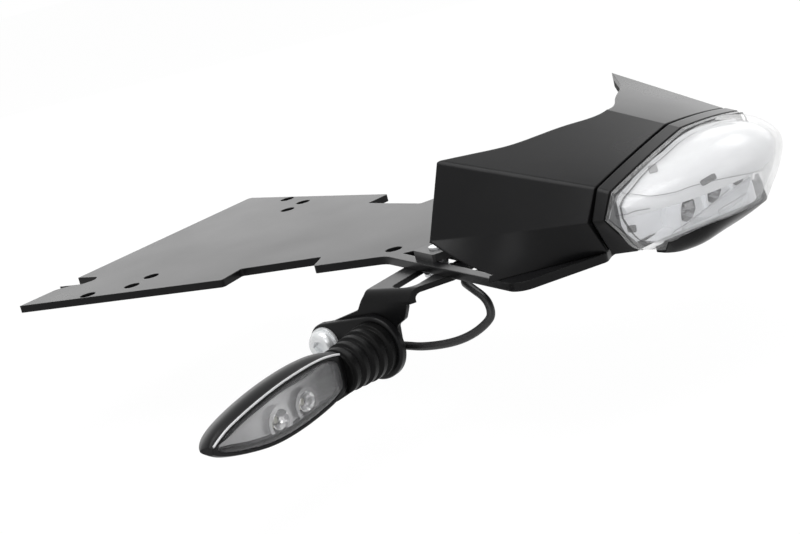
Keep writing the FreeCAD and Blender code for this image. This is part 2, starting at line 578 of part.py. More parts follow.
# indicator bracket: strap below the plate folded down into a leg
strap_top = -PLATE_T
bend_out = BEND_R + STRAP_T
leg_in = LEG_Y + STRAP_T
LEG_LOW_Z = -36.0
profile = Part.Wire([
    Part.makeLine(V(0, STRAP_INNER_Y, strap_top), V(0, LEG_Y + bend_out, strap_top)),
    Part.Arc(V(0, LEG_Y + bend_out, strap_top), V(0, LEG_Y + bend_out * (1 - math.sqrt(0.5)), strap_top - bend_out * (1 - math.sqrt(0.5))), V(0, LEG_Y, strap_top - bend_out)).toShape(),
    Part.makeLine(V(0, LEG_Y, strap_top - bend_out), V(0, LEG_Y, LEG_LOW_Z)),
    Part.makeLine(V(0, LEG_Y, LEG_LOW_Z), V(0, leg_in, LEG_LOW_Z)),
    Part.makeLine(V(0, leg_in, LEG_LOW_Z), V(0, leg_in, strap_top - bend_out)),
    Part.Arc(V(0, leg_in, strap_top - bend_out), V(0, LEG_Y + bend_out - BEND_R * math.sqrt(0.5), strap_top - bend_out + BEND_R * math.sqrt(0.5)), V(0, LEG_Y + bend_out, strap_top - STRAP_T)).toShape(),
    Part.makeLine(V(0, LEG_Y + bend_out, strap_top - STRAP_T), V(0, STRAP_INNER_Y, strap_top - STRAP_T)),
    Part.makeLine(V(0, STRAP_INNER_Y, strap_top - STRAP_T), V(0, STRAP_INNER_Y, strap_top)),
])
bent = Part.Face(profile).extrude(V(80, 0, 0))
bent.translate(V(112, 0, 0))
leg_side = STRAP_X[1] - 11.4
zone_y = LEG_Y - 3.0
strap_zone = slab([
    (STRAP_X[0], STRAP_INNER_Y), (STRAP_X[0], zone_y), (leg_side, zone_y), (STRAP_X[1], LEG_Y + 15.0),
    (STRAP_X[1], STRAP_INNER_Y, 4.0),
], -8.0, 6.0)
sx, sz = STALK
leg_zone = side_slab([
    (STRAP_X[0], -2.0), (STRAP_X[0], -4.2, 1.5), (sx - 5.3, -9.4, 3.0), (LUG[0] + 3.0, LUG[1] + 7.0, 5.0),
    (LUG[0] - 6.7, LUG[1] + 3.1, 5.5), (LUG[0] - 4.9, LUG[1] - 7.9, 6.0), (sx - 9.3, sz - 10.8, 6.0), (sx + 8.7, sz - 10.6, 8.0),
    (sx + 10.3, sz + 7.2, 1.5), (sx + 14.1, sz + 9.4, 2.0), (leg_side, -9.0, 3.0), (leg_side, -2.0),
], LEG_Y - 4.0, 10.0)
bracket = bent.common(strap_zone.fuse(leg_zone))
slot_y = (STRAP_INNER_Y - 6.0, LEG_Y + bend_out - 0.4)
half_w = STRAP_SLOT_W / 2
bracket = bracket.cut(slab([
    (STRAP_SLOT_X - half_w, slot_y[0], 4.0), (STRAP_SLOT_X - half_w, slot_y[1], 4.0),
    (STRAP_SLOT_X + half_w, slot_y[1], 4.0), (STRAP_SLOT_X + half_w, slot_y[0], 4.0),
], -8.0, 6.0))
BOSS_AT = (sx - 1.1, sz - 1.6)
BOSS_R = 4.6
bracket = bracket.cut(cyl(M6_R + SCREW_CLEAR, 6.0, (LUG[0], LEG_Y - 1.0, LUG[1]), (0, 1, 0)))
bracket = bracket.cut(cyl(BOSS_R + SCREW_CLEAR, 6.0, (BOSS_AT[0], LEG_Y - 1.0, BOSS_AT[1]), (0, 1, 0))).removeSplitter()
export(bracket, "indicator_bracket")

# strap fixing where the wing slot crosses the strap's slot: bolt and washer below, slot nut on the plate
slot_mid = WING_STRIP + SLOT_W / 2
wing_run = (STRAP_SLOT_X - along_wing(0.0, slot_mid)[0]) / wing_dir.x
bolt_x, bolt_y = along_wing(wing_run, slot_mid)
strap_low = strap_top - STRAP_T
washer = ring(M6_WASHER_R + 0.6, M6_R + SCREW_CLEAR, M6_WASHER_T, (bolt_x, bolt_y, strap_low - M6_WASHER_T))
export(washer, "bracket_washer")
export(button_bolt(M6_R, 10.0, M6_HEAD_R, M6_HEAD_H, (bolt_x, bolt_y, strap_low - M6_WASHER_T), (0, 0, -1)), "bracket_bolt")
NUT_LONG = 16.0
NUT_WIDE = 12.0
NUT_T = 3.0
nut = box((-NUT_LONG / 2, NUT_LONG / 2), (-NUT_WIDE / 2, NUT_WIDE / 2), (0.0, NUT_T))
nut = nut.makeFillet(1.2, [e for e in nut.Edges if abs(e.Vertexes[0].Z - e.Vertexes[1].Z) > 1.0])
nut = nut.cut(cyl(M6_R + THREAD_CLEAR, 8.0, (0, 0, -1)))
nut.rotate(V(0, 0, 0), V(0, 0, 1), math.degrees(math.atan2(wing_dir.y, wing_dir.x)))
nut.translate(V(bolt_x, bolt_y, 0))
export(nut, "bracket_slot_nut")

# indicator base: drop-shaped plate on the leg, boss through the leg for the cable
def drop(r_grow, y0, depth):
    ax, az = STALK
    bx, bz = LUG
    big, small = BASE_R + r_grow, LUG_R + r_grow
    d = math.hypot(bx - ax, bz - az)
    along = math.atan2(bz - az, bx - ax)
    spread = math.acos((big - small) / d)
    pts = []
    for cx, cz, r, a in ((ax, az, big, along + spread), (bx, bz, small, along + spread), (bx, bz, small, along - spread), (ax, az, big, along - spread)):
        pts.append(V(cx + r * math.cos(a), y0, cz + r * math.sin(a)))
    tip = V(bx + small * math.cos(along), y0, bz + small * math.sin(along))
    back = V(ax - big * math.cos(along), y0, az - big * math.sin(along))
    wire = Part.Wire([
        Part.makeLine(pts[0], pts[1]), Part.Arc(pts[1], tip, pts[2]).toShape(),
        Part.makeLine(pts[2], pts[3]), Part.Arc(pts[3], back, pts[0]).toShape(),
    ])
    return Part.Face(wire).extrude(V(0, depth, 0))


base_face = LEG_Y - BASE_T
base = drop(0.0, base_face, BASE_T)
rim_edges = [e for e in base.Edges if all(abs(v.Y - base_face) < 1e-6 for v in e.Vertexes)]
base = base.makeFillet(1.0, rim_edges)
base = base.fuse(cyl(BOSS_R, 3.4, (BOSS_AT[0], LEG_Y, BOSS_AT[1]), (0, 1, 0)))
base = base.cut(cyl(CABLE_R + CABLE_CLEAR, 12.0, (BOSS_AT[0], base_face - 1.0, BOSS_AT[1]), (0, 1, 0)))
base = base.cut(cyl(M6_R + SCREW_CLEAR, 12.0, (LUG[0], base_face - 1.0, LUG[1]), (0, 1, 0))).removeSplitter()
export(base, "indicator_base")
export(ring(M6_WASHER_R, M6_R + SCREW_CLEAR, M6_WASHER_T, (LUG[0], base_face - M6_WASHER_T, LUG[1]), (0, 1, 0)), "indicator_washer")
export(button_bolt(M6_R, 16.0, M6_HEAD_R, M6_HEAD_H, (LUG[0], base_face - M6_WASHER_T, LUG[1]), (0, -1, 0)), "indicator_bolt")
nut = hexagon(M6_NUT_AF, M6_NUT_H, (LUG[0], leg_in, LUG[1]), (0, 1, 0))
export(nut.cut(cyl(M6_R + THREAD_CLEAR, 8.0, (LUG[0], leg_in - 1.0, LUG[1]), (0, 1, 0))), "indicator_nut")

# ribbed rubber stalk
STALK_R0 = 10.0
STALK_R1 = 8.2
STALK_RIBS = 5
GROOVE = 1.0
profile = [V(STALK_BORE_R, base_face, 0), V(STALK_R0, base_face, 0)]
pitch = (base_face - STALK_END_Y) / STALK_RIBS
for i in range(STALK_RIBS):
    r = STALK_R0 + (STALK_R1 - STALK_R0) * i / (STALK_RIBS - 1)
    y = base_face - pitch * i
    profile += [V(r, y - 0.6, 0), V(r, y - pitch + 1.8, 0), V(r - GROOVE, y - pitch + 1.2, 0), V(r - GROOVE, y - pitch + 0.4, 0)]
profile += [V(STALK_R1, STALK_END_Y, 0), V(STALK_BORE_R, STALK_END_Y, 0)]
stalk = Part.Face(Part.makePolygon(profile + [profile[0]])).revolve(V(0, 0, 0), V(0, 1, 0), 360)
stalk.translate(V(STALK[0], 0, STALK[1]))
export(stalk, "indicator_stalk")

# indicator housing: rows along the arm, with y counted from the stalk's end, z from its centre line
# and x from the rim (y, top, bottom, rear face, lens face)
IND_ROWS = [
    (0.0, 7.0, -5.4, -10.5, 1.0),
    (-5.0, 8.8, -6.6, -13.2, 3.2),
    (-14.0, 10.0, -7.8, -15.2, 5.2),
    (-29.0, 10.0, -8.4, -16.0, 6.2),
    (-42.0, 9.0, -7.4, -15.4, 6.0),
    (-54.0, 7.4, -4.5, -13.2, 4.8),
    (-62.0, 5.8, -1.8, -9.5, 3.2),
    (-67.4, 3.2, 1.0, -4.5, 1.4),
]
LIP = 1.2
LIP_H = 1.0
LIP_CLEAR = 0.1
IND_SHELL = IND_WALL + 1.0


def leaf(x_rim, column, inset, end_pull):
    """Loft of the arm's rows between the rim plane and the face named by the column."""
    wires = []
    last = len(IND_ROWS) - 1
    shoulder = 0.04 if column == 3 else 0.10
    for i, row in enumerate(IND_ROWS):
        y = STALK_END_Y + row[0] - (end_pull if i == 0 else -end_pull if i == last else 0.0)
        side = 1.0 if row[column] > 0 else -1.0
        depth = max(abs(row[column]) - inset, 0.4)
        squeeze = min(inset, (row[1] - row[2]) / 2 - 0.6)
        top, low = STALK[1] + row[1] - squeeze, STALK[1] + row[2] + squeeze
        h = top - low
        pts = [(0.0, top), (0.62 * depth, top - shoulder * h), (depth, (top + low) / 2), (0.62 * depth, low + 0.10 * h), (0.0, low)]
        c = Part.BSplineCurve()
        c.interpolate(Points=[V(x_rim + side * p[0], y, p[1]) for p in pts])
        wires.append(Part.Wire([c.toShape(), Part.makeLine(V(x_rim, y, low), V(x_rim, y, top))]))
    return Part.makeLoft(wires, True, False)


shell = leaf(IND_RIM_X, 3, 0.0, 0.0)
SCALLOPS = 9
SCALLOP_PITCH = 5.8
SCALLOP_R = 3.4
SCALLOP_DEEP = 1.2
for i in range(SCALLOPS):
    dy = -9.0 - i * SCALLOP_PITCH
    a, b = [(a, b) for a, b in zip(IND_ROWS[:-1], IND_ROWS[1:]) if b[0] <= dy < a[0]][0]
    back = IND_RIM_X + along(dy, a[0], a[3], b[0], b[3])
    shell = shell.cut(cyl(SCALLOP_R, 60.0, (back - SCALLOP_R + SCALLOP_DEEP, STALK_END_Y + dy, STALK[1] - 30.0)))
stub = cyl(STALK_R1, 5.0, (STALK[0], STALK_END_Y, STALK[1]), (0, -1, 0))
shell = shell.fuse(stub.common(box((STALK[0] - 20.0, IND_RIM_X), (STALK_END_Y - 6.0, STALK_END_Y + 1.0), (STALK[1] - 20.0, STALK[1] + 20.0))))
shell = shell.cut(leaf(IND_RIM_X, 3, IND_SHELL, 4.0))
lip = leaf(IND_RIM_X, 4, 0.0, 0.0).cut(leaf(IND_RIM_X, 4, LIP - LIP_CLEAR, LIP - LIP_CLEAR))
lip = lip.common(box((IND_RIM_X, IND_RIM_X + LIP_H), (STALK_END_Y - 90.0, STALK_END_Y + 10.0), (STALK[1] - 30.0, STALK[1] + 30.0)))
shell = shell.fuse(lip)
shell = shell.cut(cyl(CABLE_R + CABLE_CLEAR, 12.0, (BOSS_AT[0], STALK_END_Y + 1.0, BOSS_AT[1]), (0, -1, 0))).removeSplitter()
export(shell, "indicator_housing")

ind_lens = leaf(IND_RIM_X, 4, LIP, LIP).cut(leaf(IND_RIM_X, 4, LIP + IND_LENS_WALL, LIP + 2.0))
export(ind_lens, "indicator_lens")

# pale carrier with two round optics in the indicator
OPTIC_AT = [(STALK_END_Y - 35.9, STALK[1] - 1.9), (STALK_END_Y - 21.9, STALK[1] - 1.6)]
OPTIC_R = 4.9
OPTIC_H = 3.2
CARRIER_X = IND_RIM_X - 0.6
CARRIER_T = 1.4


def arm_plate(x, depth, inset, end_pull):
    """Flat plate with the rim's outline."""
    ends = [-end_pull] + [0.0] * (len(IND_ROWS) - 2) + [end_pull]
    squeeze = [min(inset, (row[1] - row[2]) / 2 - 0.6) for row in IND_ROWS]
    tops = [V(x, STALK_END_Y + r[0] + e, STALK[1] + r[1] - q) for r, e, q in zip(IND_ROWS, ends, squeeze)]
    lows = [V(x, STALK_END_Y + r[0] + e, STALK[1] + r[2] + q) for r, e, q in zip(IND_ROWS, ends, squeeze)]
    curves = []
    for points in (tops, lows[::-1]):
        c = Part.BSplineCurve()
        c.interpolate(Points=points)
        curves.append(c.toShape())
    outline = Part.Wire([curves[0], Part.makeLine(tops[-1], lows[-1]), curves[1], Part.makeLine(lows[0], tops[0])])
    return Part.Face(outline).extrude(V(depth, 0, 0))


ROOM_INSET = IND_SHELL + 0.7
carrier = arm_plate(CARRIER_X - CARRIER_T, CARRIER_T, ROOM_INSET, 4.6)
for y, z in OPTIC_AT:
    carrier = carrier.fuse(cone(3.2, OPTIC_R + 0.8, OPTIC_H, (CARRIER_X - CARRIER_T, y, z)))
for y, z in OPTIC_AT:
    carrier = carrier.cut(cone(2.2, OPTIC_R, OPTIC_H, (CARRIER_X - CARRIER_T + 0.7, y, z)))
    carrier = carrier.cut(cyl(2.2, 8.0, (CARRIER_X - 5.0, y, z), (1, 0, 0)))
carrier = carrier.common(arm_plate(CARRIER_X - CARRIER_T, 8.0, ROOM_INSET, 4.6)).removeSplitter()
carrier = max(carrier.Solids, key=lambda q: q.Volume)
export(carrier, "indicator_reflector")
IND_BOARD_X = CARRIER_X - CARRIER_T - 2.0
board_y = (OPTIC_AT[0][0] - 7.0, OPTIC_AT[1][0] + 7.0)
ind_board = box((IND_BOARD_X - BOARD_T, IND_BOARD_X), board_y, (STALK[1] - 3.4, STALK[1] + 3.8))
export(ind_board, "indicator_board")
for i, (y, z) in enumerate(OPTIC_AT):
    export(box((IND_BOARD_X, IND_BOARD_X + 2.4), (y - 1.5, y + 1.5), (z - 1.5, z + 1.5)), "indicator_led_" + str(i + 1))

# cable from the indicator's boss, below the strap, through the grommet and into the lamp's box
ROUTE = [
    (BOSS_AT[0], -76.0, BOSS_AT[1]), (BOSS_AT[0], -73.0, BOSS_AT[1]), (BOSS_AT[0], -69.8, BOSS_AT[1]),
    (148.7, -66.3, -24.8), (153.4, -64.6, -25.6),
    (161.4, -64.0, -26.6), (172.7, -62.0, -26.1), (180.9, -60.0, -23.8), (187.4, -58.0, -19.6), (188.2, -57.0, -16.7),
    (186.5, -56.0, -12.3), (179.9, -54.0, -8.9), (174.0, -50.0, -7.6), (175.0, -42.0, -7.6), (184.0, -36.0, -8.2),
    (196.0, -32.4, -9.8), (203.0, -30.6, -9.4), (205.9, -30.1, -6.2), (CABLE_HOLE[0], CABLE_HOLE[1], -1.5),
    (CABLE_HOLE[0] + 0.2, -30.0, 3.0), (208.6, -29.5, 7.4), (BOX_FRONT_X, CABLE_ENTRY[1], CABLE_ENTRY[2]), (BOX_FRONT_X + 3.0, CABLE_ENTRY[1], CABLE_ENTRY[2]),
]
path = Part.BSplineCurve()
path.interpolate(Points=[V(*p) for p in ROUTE])
start = Part.Wire([Part.makeCircle(CABLE_R, path.value(path.FirstParameter), V(*path.tangent(path.FirstParameter)[0]))])
cable = Part.Wire([path.toShape()]).makePipeShell([start], True, True)
export(cable, "indicator_cable")

# rubber grommet in the plate
FLANGE_R = GROMMET_R + 1.8
gx, gy = CABLE_HOLE
grommet = cyl(GROMMET_R - THREAD_CLEAR, PLATE_T, (gx, gy, -PLATE_T))
grommet = grommet.fuse(cyl(FLANGE_R, 1.2, (gx, gy, 0.0))).fuse(cyl(FLANGE_R, 1.2, (gx, gy, -PLATE_T - 1.2)))
export(grommet.cut(cyl(CABLE_R + CABLE_CLEAR + 0.3, 12.0, (gx, gy, -PLATE_T - 3.0))).removeSplitter(), "cable_grommet")
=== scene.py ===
import math
import bmesh
import bpy
from mathutils import Matrix, Vector


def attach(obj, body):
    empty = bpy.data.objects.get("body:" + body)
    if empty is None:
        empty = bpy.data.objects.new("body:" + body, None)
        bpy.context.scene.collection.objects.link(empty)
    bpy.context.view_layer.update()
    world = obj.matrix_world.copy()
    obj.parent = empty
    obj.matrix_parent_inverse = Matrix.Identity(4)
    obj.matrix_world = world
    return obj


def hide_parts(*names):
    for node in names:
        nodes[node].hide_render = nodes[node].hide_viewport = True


# Looks of the tail tidy: powder coated plate, cover and strap, moulded lamp and indicator with their
# clear and smoked lenses, the mirror facets and optics behind them, and the indicator's cable.
# Metres, in the part's own frame: X to the rear, Y away from the indicator's side, Z up.
# The object's own places and sizes are typed in millimetres, the camera's and the studio's in metres.

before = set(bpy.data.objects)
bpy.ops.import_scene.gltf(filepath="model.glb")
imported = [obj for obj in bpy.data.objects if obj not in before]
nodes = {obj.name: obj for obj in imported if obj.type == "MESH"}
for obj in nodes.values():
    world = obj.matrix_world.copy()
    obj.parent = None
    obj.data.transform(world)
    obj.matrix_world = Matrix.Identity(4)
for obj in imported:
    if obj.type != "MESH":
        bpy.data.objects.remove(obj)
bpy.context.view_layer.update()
scene = bpy.context.scene
MM = 0.001


def metres(at):
    """A point typed in millimetres, in metres."""
    return tuple(c * MM for c in at)


def linked(name, data):
    """A new object for the data, in the scene."""
    thing = bpy.data.objects.new(name, data)
    scene.collection.objects.link(thing)
    return thing


# node trees
def feed(tree, socket, value):
    """Link another node's output into a socket, or set a constant there."""
    if isinstance(value, bpy.types.NodeSocket):
        tree.links.new(value, socket)
    else:
        socket.default_value = value


def add(tree, kind, **sockets):
    """A node of a kind, its inputs given by name."""
    node = tree.nodes.new(kind)
    for name, value in sockets.items():
        feed(tree, node.inputs[name.replace("_", " ")], value)
    return node


def reckon(tree, operation, *values):
    """An arithmetic node's result, its inputs given in order."""
    node = tree.nodes.new("ShaderNodeMath")
    node.operation = operation
    for socket, value in zip(node.inputs, values):
        feed(tree, socket, value)
    return node.outputs[0]


def shaders_mixed(tree, share, first, second):
    """Two shaders in one, with a share of the second."""
    mix = add(tree, "ShaderNodeMixShader", Fac=share)
    feed(tree, mix.inputs[1], first.outputs[0])
    feed(tree, mix.inputs[2], second.outputs[0])
    return mix.outputs[0]


# camera, at the photograph's viewing angle
EYE = (0.487036, -0.474103, 0.129146)
SIGHT = (-0.606554, 0.759961, -0.23356)
UPWARD = (0.048761, 0.328777, 0.943148)
SENSOR_WIDTH = 36.0
FOCAL_LENGTH = 70.257
NEAR_CLIP = 0.01


def look_from(thing, place, look, up):
    """Stand a camera or a light at a place, facing along its look."""
    z = -Vector(look).normalized()
    x = Vector(up).cross(z).normalized()
    y = z.cross(x)
    turn = Matrix((x, y, z)).transposed().to_4x4()
    thing.matrix_world = Matrix.Translation(Vector(place)) @ turn


camera_data = bpy.data.cameras.new("camera")
camera_data.sensor_width = SENSOR_WIDTH
camera_data.lens = FOCAL_LENGTH
camera_data.clip_start = NEAR_CLIP
camera = linked("camera", camera_data)
look_from(camera, EYE, SIGHT, UPWARD)
scene.camera = camera


# materials
EDGE_SAMPLES = 4
CLEAR_IOR = 1.49


class Finish:
    """A node material under construction, with short calls for the usual nodes."""

    def __init__(self, name):
        self.material = bpy.data.materials.new(name)
        self.material.use_nodes = True
        self.tree = self.material.node_tree
        self.tree.nodes.clear()
        self.out = self.node("OutputMaterial")
        self.coords = self.node("TexCoord").outputs["Object"]

    def node(self, kind, **sockets):
        return add(self.tree, "ShaderNode" + kind, **sockets)

    def reckon(self, operation, *values):
        return reckon(self.tree, operation, *values)

    def noise(self, scale, detail=3.0, roughness=0.5):
        cloud = self.node("TexNoise", Vector=self.coords, Scale=scale, Detail=detail, Roughness=roughness)
        return cloud.outputs["Fac"]

    def ramp(self, fac, stops):
        """Colours that run into each other, each stop a place from 0 to 1 and a colour."""
        node = self.node("ValToRGB", Fac=fac)
        elements = node.color_ramp.elements
        for i, (place, colour) in enumerate(stops):
            element = elements[i] if i < len(elements) else elements.new(place)
            element.position = place
            element.color = (*colour, 1)
        return node.outputs["Color"]

    def mottle(self, fac, low, high, start=0.35, end=0.65):
        """Two shades that run into each other over the middle of a pattern."""
        return self.ramp(fac, ((start, low), (end, high)))

    def span(self, fac, low, high):
        """A number that goes from low to high with a pattern."""
        return self.node("MapRange", Value=fac, To_Min=low, To_Max=high).outputs["Result"]

    def along(self, axis, start, end):
        """Share of the way along an axis, 0 at start and 1 at end, both in millimetres."""
        split = self.node("SeparateXYZ", Vector=self.coords)
        way = self.node("MapRange", Value=split.outputs[axis], From_Min=start * MM, From_Max=end * MM)
        return way.outputs["Result"]

    def bump(self, height, strength, depth, edge=0.0):
        """Relief, its depth in millimetres; an edge width makes sharp corners catch the light."""
        relief = self.node("Bump", Height=height, Strength=strength, Distance=depth * MM)
        if edge:
            corner = self.node("Bevel", Radius=edge * MM)
            corner.samples = EDGE_SAMPLES
            feed(self.tree, relief.inputs["Normal"], corner.outputs["Normal"])
        return relief.outputs["Normal"]

    def surface(self, **sockets):
        """Finish the material with a surface of these values."""
        return self.closed(self.node("BsdfPrincipled", **sockets).outputs["BSDF"])

    def closed(self, shader):
        """Finish the material with a shader."""
        feed(self.tree, self.out.inputs["Surface"], shader)
        return self.material


def powder_coat():
    coat = Finish("black_powder_coat")
    fine = coat.noise(2600.0, detail=2.0)
    broad = coat.noise(22.0)
    return coat.surface(
        Base_Color=coat.mottle(broad, (0.0055, 0.0055, 0.006), (0.0085, 0.0085, 0.009)),
        Roughness=coat.span(broad, 0.24, 0.34), Specular_IOR_Level=0.13,
        Normal=coat.bump(fine, strength=0.12, depth=0.06, edge=0.7))


def moulded_black():
    moulding = Finish("black_moulding")
    grain = moulding.noise(1800.0, detail=2.0)
    broad = moulding.noise(40.0, detail=2.0)
    return moulding.surface(
        Base_Color=moulding.mottle(broad, (0.006, 0.006, 0.0065), (0.010, 0.010, 0.0105)),
        Roughness=moulding.span(broad, 0.26, 0.36), Specular_IOR_Level=0.14,
        Normal=moulding.bump(grain, strength=0.15, depth=0.05, edge=0.6))


def black_rubber():
    rubber = Finish("black_rubber")
    grain = rubber.noise(2200.0, detail=4.0)
    broad = rubber.noise(60.0)
    return rubber.surface(
        Base_Color=rubber.mottle(broad, (0.003, 0.003, 0.003), (0.006, 0.006, 0.0062)),
        Roughness=rubber.span(broad, 0.34, 0.48), Specular_IOR_Level=0.10,
        Normal=rubber.bump(grain, strength=0.25, depth=0.08, edge=0.6))


def zinc_plate():
    zinc = Finish("zinc_plate")
    cloud = zinc.noise(260.0, detail=4.0, roughness=0.6)
    fine = zinc.noise(3200.0, detail=2.0)
    return zinc.surface(
        Base_Color=zinc.mottle(cloud, (0.86, 0.88, 0.89), (0.95, 0.96, 0.97)), Metallic=0.35,
        Roughness=zinc.span(cloud, 0.16, 0.3), Normal=zinc.bump(fine, strength=0.10, depth=0.05, edge=0.4))


def black_steel():
    steel = Finish("black_steel")
    cloud = steel.noise(300.0)
    fine = steel.noise(2500.0)
    return steel.surface(
        Base_Color=steel.mottle(cloud, (0.012, 0.012, 0.013), (0.028, 0.028, 0.029)), Metallic=0.3,
        Roughness=steel.span(cloud, 0.3, 0.45), Normal=steel.bump(fine, strength=0.1, depth=0.05))


def lighter(colour, times):
    return tuple(min(1.0, c * times) for c in colour)


def clear_plastic(name, tint, face_on, edge_on):
    """Clear moulding: see-through face on, brighter and more solid where the wall is seen edge on."""
    clear = Finish(name)
    broad = clear.noise(30.0, detail=2.0)
    flow = clear.noise(18.0, detail=1.0)
    slope = clear.node("LayerWeight", Blend=0.35).outputs["Facing"]
    return clear.surface(
        Base_Color=clear.mottle(broad, tint, lighter(tint, 1.04)), Roughness=clear.span(broad, 0.03, 0.06),
        Alpha=clear.span(slope, face_on, edge_on), IOR=CLEAR_IOR,
        Normal=clear.bump(flow, strength=0.02, depth=0.4))


# The tail lens's flange in plan: its middle, how it bows forward with Y squared, and its dark line
FLANGE_X = 242.6 * MM
FLANGE_BOW = 0.89
FLANGE_LINE = 1.7 * MM
FLANGE_LINE_HALF = 0.35 * MM
FLANGE_LINE_SOLID = 0.8
FLANGE_LINE_GREY = (0.05, 0.05, 0.05, 1)


def flanged_lens(name, tint, face_on, edge_on):
    """The tail lens: clear, with the dark line that its flange makes along the housing."""
    lens = Finish(name)
    broad = lens.noise(30.0, detail=2.0)
    flow = lens.noise(18.0, detail=1.0)
    slope = lens.node("LayerWeight", Blend=0.30).outputs["Facing"]
    place = lens.node("SeparateXYZ", Vector=lens.coords)
    across = place.outputs["Y"]
    bow = lens.reckon("MULTIPLY", lens.reckon("MULTIPLY", across, across), FLANGE_BOW)
    rearward = lens.reckon("ADD", lens.reckon("SUBTRACT", place.outputs["X"], FLANGE_X), bow)
    on_line = lens.reckon("COMPARE", rearward, FLANGE_LINE, FLANGE_LINE_HALF)
    line_solid = lens.reckon("MULTIPLY", on_line, FLANGE_LINE_SOLID)
    mix = lens.node("Mix")
    mix.data_type = "RGBA"
    feed(lens.tree, mix.inputs["Factor"], on_line)
    feed(lens.tree, mix.inputs["A"], lens.mottle(broad, tint, lighter(tint, 1.03)))
    feed(lens.tree, mix.inputs["B"], FLANGE_LINE_GREY)
    return lens.surface(
        Base_Color=mix.outputs["Result"], Roughness=lens.span(broad, 0.02, 0.05),
        Alpha=lens.reckon("MAXIMUM", lens.span(slope, face_on, edge_on), line_solid), IOR=CLEAR_IOR,
        Normal=lens.bump(flow, strength=0.02, depth=0.4))


def white_plastic(name, low, high, painted_glow=0.0):
    """White moulding; a painted glow, an emission with no lamp behind it, lifts its shaded parts."""
    white = Finish(name)
    broad = white.noise(55.0)
    fine = white.noise(900.0)
    return white.surface(
        Base_Color=white.mottle(broad, low, high), Roughness=white.span(broad, 0.12, 0.24),
        # painted glow: white emission that lifts the shade, not a lamp
        Emission_Color=(0.95, 0.96, 1.0, 1), Emission_Strength=painted_glow,
        Normal=white.bump(fine, strength=0.05, depth=0.05, edge=0.4))


# The silvered carrier from the arm's end to the tip: place and brightness of its painted shade towards the
# arm and its painted highlight round the optics
SILVER_START_Y = -99.0
SILVER_END_Y = -150.0
SILVER_PAINTED_LIGHT_STOPS = ((0.0, 0.015), (0.20, 0.06), (0.40, 0.40), (0.66, 0.82), (1.0, 0.52))


def neutral(tone, blue):
    """A grey whose blue is a little stronger."""
    return (tone, tone, tone * blue)


def silvered_plastic():
    """Silvered plastic with painted shade, dark towards the arm, and a painted highlight, bright towards
    the tip.
    """
    silver = Finish("silvered_carrier")
    way = silver.along("Y", SILVER_START_Y, SILVER_END_Y)
    broad = silver.noise(55.0)
    fine = silver.noise(900.0)
    return silver.surface(
        Base_Color=silver.ramp(way, [(place, neutral(tone, 1.01)) for place, tone in SILVER_PAINTED_LIGHT_STOPS]),
        Metallic=0.35, Roughness=silver.span(broad, 0.16, 0.28),
        Normal=silver.bump(fine, strength=0.05, depth=0.05))


MIRROR_CELLS = 620.0


def mirror_cells(name, low, high):
    """Bright metal broken into small cells, each tilted its own way, as moulded facets are, with a painted
    reflection: each cell's brightness lies between low and high.
    """
    mirror = Finish(name)
    cells = mirror.node("TexVoronoi", Vector=mirror.coords, Scale=MIRROR_CELLS).outputs["Color"]
    broad = mirror.noise(400.0, detail=2.0)
    return mirror.surface(
        Base_Color=mirror.mottle(cells, neutral(low, 1.02), neutral(high, 1.02), start=0.40, end=0.60),
        Metallic=1.0, Roughness=mirror.span(broad, 0.05, 0.12),
        Normal=mirror.bump(cells, strength=0.5, depth=0.4))


def matt_grey(name, low, high):
    grey = Finish(name)
    broad = grey.noise(900.0)
    return grey.surface(
        Base_Color=grey.mottle(broad, neutral(low, 1.03), neutral(high, 1.03)),
        Roughness=grey.span(broad, 0.4, 0.55), Normal=grey.bump(broad, strength=0.2, depth=0.05))


def circuit_board():
    board = Finish("circuit_board")
    track = board.node("TexBrick", Vector=board.coords, Scale=160.0).outputs["Fac"]
    return board.surface(
        Base_Color=board.mottle(track, (0.010, 0.060, 0.022), (0.018, 0.095, 0.036)), Roughness=0.4,
        Normal=board.bump(track, strength=0.2, depth=0.05))


def light_source():
    source = Finish("light_source")
    grain = source.noise(500.0)
    return source.surface(
        Base_Color=source.mottle(grain, (0.84, 0.82, 0.66), (0.93, 0.92, 0.80)), Roughness=0.35)


def dark_window():
    window = Finish("dark_window")
    broad = window.noise(80.0)
    return window.surface(
        Base_Color=window.mottle(broad, (0.004, 0.004, 0.0045), (0.009, 0.009, 0.0095)), Roughness=0.25,
        Specular_IOR_Level=0.12)


def cable_skin():
    cable = Finish("cable_skin")
    grain = cable.noise(700.0)
    return cable.surface(
        Base_Color=cable.mottle(grain, (0.010, 0.010, 0.010), (0.020, 0.020, 0.021)), Roughness=0.42,
        Normal=cable.bump(grain, strength=0.2, depth=0.08))


COAT = powder_coat()
MOULDING = moulded_black()
RUBBER = black_rubber()
ZINC = zinc_plate()
STEEL = black_steel()
LENS = flanged_lens("clear_lens", (0.95, 0.955, 0.96), face_on=0.07, edge_on=0.50)
BAR = clear_plastic("clear_bar", (0.90, 0.91, 0.92), face_on=0.12, edge_on=0.80)
SMOKE = clear_plastic("smoke_lens", (0.42, 0.42, 0.43), face_on=0.04, edge_on=0.55)
OPTIC = clear_plastic("clear_optic", (0.95, 0.96, 0.97), face_on=0.02, edge_on=0.40)
# the lamp's white moulding carries a painted glow that lifts the shade under the shelf
WHITE = white_plastic("white_moulding", (0.64, 0.645, 0.65), (0.70, 0.705, 0.71), painted_glow=0.24)
SILVER = silvered_plastic()
# the indicator's facets take the bright copy and the lamp's facets a darker copy of the same metal:
# painted shade
MIRROR = mirror_cells("mirror_facets", 0.22, 1.0)
SHADED_MIRROR = mirror_cells("shaded_mirror_facets", 0.10, 0.34)
